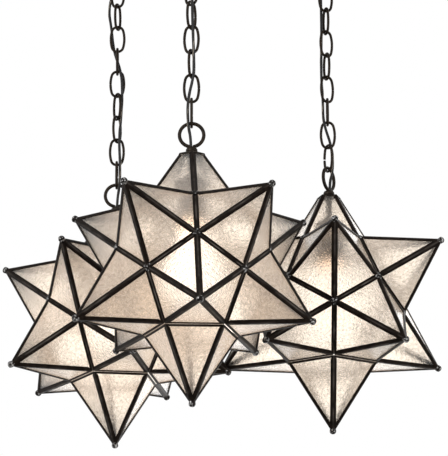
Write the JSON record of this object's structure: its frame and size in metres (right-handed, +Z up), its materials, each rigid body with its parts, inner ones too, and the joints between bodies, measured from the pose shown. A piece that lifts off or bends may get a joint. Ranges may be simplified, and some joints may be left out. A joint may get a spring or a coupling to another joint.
{
  "type": "cluster pendant light",
  "caption": "Cluster of twelve-pointed seedy glass stars in dark metal came, each hung by an oval-link chain from one round ceiling canopy.",
  "frame": {"origin": "middle of the ceiling plane, on the canopy's axis, at the top face of the strap", "axes": "+Z up into the ceiling, -Y towards the front, +X to the viewer's right"},
  "size_m": [0.5192, 0.5094, 0.6506],
  "materials": {
    "dark_bronze": "satin dark bronze",
    "dark_came": "satin, patinated, with solder on the joints",
    "zinc_steel": "zinc plated",
    "black_cord": "matt",
    "black_holder": "matt",
    "seedy_glass": "seedy, with small bubbles",
    "lamp_glass": "frosted, lit"
  },
  "bodies": {
    "canopy": {"canopy_pan": "dark_bronze", "canopy_loops": "dark_bronze", "ceiling_strap": "zinc_steel", "front_cord": "black_cord", "left_cord": "black_cord", "right_cord": "black_cord"},
    "front_link_1_body": {"front_link_1": "dark_bronze"},
    "front_link_2_body": {"front_link_2": "dark_bronze"},
    "front_link_3_body": {"front_link_3": "dark_bronze"},
    "front_link_4_body": {"front_link_4": "dark_bronze"},
    "front_link_5_body": {"front_link_5": "dark_bronze"},
    "front_link_6_body": {"front_link_6": "dark_bronze"},
    "front_link_7_body": {"front_link_7": "dark_bronze"},
    "front_link_8_body": {"front_link_8": "dark_bronze"},
    "front_link_9_body": {"front_link_9": "dark_bronze"},
    "front_star": {"front_loop": "dark_bronze", "front_cap": "dark_bronze", "front_frame": "dark_came", "front_panes": "seedy_glass", "front_socket": "black_holder", "front_bulb": "lamp_glass", "front_hinge": "dark_bronze"},
    "front_door": {"front_door_frame": "dark_came", "front_door_panes": "seedy_glass"},
    "left_link_1_body": {"left_link_1": "dark_bronze"},
    "left_link_2_body": {"left_link_2": "dark_bronze"},
    "left_link_3_body": {"left_link_3": "dark_bronze"},
    "left_link_4_body": {"left_link_4": "dark_bronze"},
    "left_link_5_body": {"left_link_5": "dark_bronze"},
    "left_link_6_body": {"left_link_6": "dark_bronze"},
    "left_link_7_body": {"left_link_7": "dark_bronze"},
    "left_link_8_body": {"left_link_8": "dark_bronze"},
    "left_link_9_body": {"left_link_9": "dark_bronze"},
    "left_star": {"left_loop": "dark_bronze", "left_cap": "dark_bronze", "left_frame": "dark_came", "left_panes": "seedy_glass", "left_socket": "black_holder", "left_bulb": "lamp_glass", "left_hinge": "dark_bronze"},
    "left_door": {"left_door_frame": "dark_came", "left_door_panes": "seedy_glass"},
    "right_link_1_body": {"right_link_1": "dark_bronze"},
    "right_link_2_body": {"right_link_2": "dark_bronze"},
    "right_link_3_body": {"right_link_3": "dark_bronze"},
    "right_link_4_body": {"right_link_4": "dark_bronze"},
    "right_link_5_body": {"right_link_5": "dark_bronze"},
    "right_link_6_body": {"right_link_6": "dark_bronze"},
    "right_link_7_body": {"right_link_7": "dark_bronze"},
    "right_link_8_body": {"right_link_8": "dark_bronze"},
    "right_link_9_body": {"right_link_9": "dark_bronze"},
    "right_star": {"right_loop": "dark_bronze", "right_cap": "dark_bronze", "right_frame": "dark_came", "right_panes": "seedy_glass", "right_socket": "black_holder", "right_bulb": "lamp_glass", "right_hinge": "dark_bronze"},
    "right_door": {"right_door_frame": "dark_came", "right_door_panes": "seedy_glass"}
  },
  "joints": [
    {"name": "front_hang_1", "type": "hinge", "parent": "canopy", "child": "front_link_1_body", "pos_m": [-0.02204, -0.14559, -0.0755], "axis": [0.8387, -0.5446, 0], "range_deg": [-4, 0.2], "deforming": ["front_cord"]},
    {"name": "front_hang_2", "type": "hinge", "parent": "front_link_1_body", "child": "front_link_2_body", "pos_m": [-0.02204, -0.14559, -0.1038], "axis": [0.5446, 0.8387, 0], "range_deg": [-0.2, 4]},
    {"name": "front_hang_3", "type": "hinge", "parent": "front_link_2_body", "child": "front_link_3_body", "pos_m": [-0.02204, -0.14559, -0.1326], "axis": [0.8387, -0.5446, 0], "range_deg": [-4, 0.2]},
    {"name": "front_hang_4", "type": "hinge", "parent": "front_link_3_body", "child": "front_link_4_body", "pos_m": [-0.02204, -0.14559, -0.1614], "axis": [0.5446, 0.8387, 0], "range_deg": [-0.2, 4]},
    {"name": "front_hang_5", "type": "hinge", "parent": "front_link_4_body", "child": "front_link_5_body", "pos_m": [-0.02204, -0.14559, -0.1902], "axis": [0.8387, -0.5446, 0], "range_deg": [-4, 0.2]},
    {"name": "front_hang_6", "type": "hinge", "parent": "front_link_5_body", "child": "front_link_6_body", "pos_m": [-0.02204, -0.14559, -0.219], "axis": [0.5446, 0.8387, 0], "range_deg": [-0.2, 4]},
    {"name": "front_hang_7", "type": "hinge", "parent": "front_link_6_body", "child": "front_link_7_body", "pos_m": [-0.02204, -0.14559, -0.2478], "axis": [0.9659, -0.2588, 0], "range_deg": [-4, 0.2]},
    {"name": "front_hang_8", "type": "hinge", "parent": "front_link_7_body", "child": "front_link_8_body", "pos_m": [-0.02204, -0.14559, -0.2766], "axis": [0.342, 0.9397, 0], "range_deg": [-0.2, 4]},
    {"name": "front_hang_9", "type": "hinge", "parent": "front_link_8_body", "child": "front_link_9_body", "pos_m": [-0.02204, -0.14559, -0.3054], "axis": [1, 0, 0], "range_deg": [-4, 0.2]},
    {"name": "front_star_hang", "type": "hinge", "parent": "front_link_9_body", "child": "front_star", "pos_m": [-0.02204, -0.14559, -0.3342], "axis": [0, 1, 0], "range_deg": [-0.2, 4]},
    {"name": "front_door_hinge", "type": "hinge", "parent": "front_star", "child": "front_door", "pos_m": [-0.05142, -0.11103, -0.57089], "axis": [0.762, 0.6476, 0], "range_deg": [0, 70]},
    {"name": "left_hang_1", "type": "hinge", "parent": "canopy", "child": "left_link_1_body", "pos_m": [-0.11506, 0.09189, -0.0743], "axis": [0.342, 0.9397, 0], "range_deg": [-0.2, 4], "deforming": ["left_cord"]},
    {"name": "left_hang_2", "type": "hinge", "parent": "left_link_1_body", "child": "left_link_2_body", "pos_m": [-0.11506, 0.09189, -0.1026], "axis": [0.9397, -0.342, 0], "range_deg": [-0.2, 0.2]},
    {"name": "left_hang_3", "type": "hinge", "parent": "left_link_2_body", "child": "left_link_3_body", "pos_m": [-0.11506, 0.09189, -0.1314], "axis": [0.342, 0.9397, 0], "range_deg": [-0.2, 4]},
    {"name": "left_hang_4", "type": "hinge", "parent": "left_link_3_body", "child": "left_link_4_body", "pos_m": [-0.11506, 0.09189, -0.1602], "axis": [1, 0, 0], "range_deg": [-0.2, 0.2]},
    {"name": "left_hang_5", "type": "hinge", "parent": "left_link_4_body", "child": "left_link_5_body", "pos_m": [-0.11506, 0.09189, -0.189], "axis": [0, 1, 0], "range_deg": [-0.2, 0.2]},
    {"name": "left_hang_6", "type": "hinge", "parent": "left_link_5_body", "child": "left_link_6_body", "pos_m": [-0.11506, 0.09189, -0.2178], "axis": [1, 0, 0], "range_deg": [-0.2, 0.2]},
    {"name": "left_hang_7", "type": "hinge", "parent": "left_link_6_body", "child": "left_link_7_body", "pos_m": [-0.11506, 0.09189, -0.2466], "axis": [-0.5, 0.866, 0], "range_deg": [-0.2, 0.2]},
    {"name": "left_hang_8", "type": "hinge", "parent": "left_link_7_body", "child": "left_link_8_body", "pos_m": [-0.11506, 0.09189, -0.2754], "axis": [0.5, 0.866, 0], "range_deg": [-0.2, 4]},
    {"name": "left_hang_9", "type": "hinge", "parent": "left_link_8_body", "child": "left_link_9_body", "pos_m": [-0.11506, 0.09189, -0.3042], "axis": [1, 0, 0], "range_deg": [-0.2, 0.2]},
    {"name": "left_star_hang", "type": "hinge", "parent": "left_link_9_body", "child": "left_star", "pos_m": [-0.11506, 0.09189, -0.333], "axis": [0, 1, 0], "range_deg": [-0.2, 2.5]},
    {"name": "left_door_hinge", "type": "hinge", "parent": "left_star", "child": "left_door", "pos_m": [-0.14803, 0.12304, -0.56969], "axis": [0.6868, 0.7268, 0], "range_deg": [0, 95]},
    {"name": "right_hang_1", "type": "hinge", "parent": "canopy", "child": "right_link_1_body", "pos_m": [0.13711, 0.0537, -0.0666], "axis": [0.9659, 0.2588, 0], "range_deg": [-0.2, 0.2], "deforming": ["right_cord"]},
    {"name": "right_hang_2", "type": "hinge", "parent": "right_link_1_body", "child": "right_link_2_body", "pos_m": [0.13711, 0.0537, -0.0949], "axis": [-0.2588, 0.9659, 0], "range_deg": [-4, 0.2]},
    {"name": "right_hang_3", "type": "hinge", "parent": "right_link_2_body", "child": "right_link_3_body", "pos_m": [0.13711, 0.0537, -0.1237], "axis": [0.9397, 0.342, 0], "range_deg": [-0.2, 0.2]},
    {"name": "right_hang_4", "type": "hinge", "parent": "right_link_3_body", "child": "right_link_4_body", "pos_m": [0.13711, 0.0537, -0.1525], "axis": [-0.309, 0.9511, 0], "range_deg": [-4, 0.2]},
    {"name": "right_hang_5", "type": "hinge", "parent": "right_link_4_body", "child": "right_link_5_body", "pos_m": [0.13711, 0.0537, -0.1813], "axis": [0.848, 0.5299, 0], "range_deg": [-0.2, 0.2]},
    {"name": "right_hang_6", "type": "hinge", "parent": "right_link_5_body", "child": "right_link_6_body", "pos_m": [0.13711, 0.0537, -0.2101], "axis": [-0.342, 0.9397, 0], "range_deg": [-4, 0.2]},
    {"name": "right_hang_7", "type": "hinge", "parent": "right_link_6_body", "child": "right_link_7_body", "pos_m": [0.13711, 0.0537, -0.2389], "axis": [0.866, 0.5, 0], "range_deg": [-0.2, 0.2]},
    {"name": "right_hang_8", "type": "hinge", "parent": "right_link_7_body", "child": "right_link_8_body", "pos_m": [0.13711, 0.0537, -0.2677], "axis": [0, 1, 0], "range_deg": [-4, 0.2]},
    {"name": "right_hang_9", "type": "hinge", "parent": "right_link_8_body", "child": "right_link_9_body", "pos_m": [0.13711, 0.0537, -0.2965], "axis": [1, 0, 0], "range_deg": [-0.2, 4]},
    {"name": "right_star_hang", "type": "hinge", "parent": "right_link_9_body", "child": "right_star", "pos_m": [0.13711, 0.0537, -0.3253], "axis": [-0.5, 0.866, 0], "range_deg": [-4, 0.2]},
    {"name": "right_door_hinge", "type": "hinge", "parent": "right_star", "child": "right_door", "pos_m": [0.13696, 0.09906, -0.56199], "axis": [1, 0.0033, 0], "range_deg": [0, 95]}
  ]
}
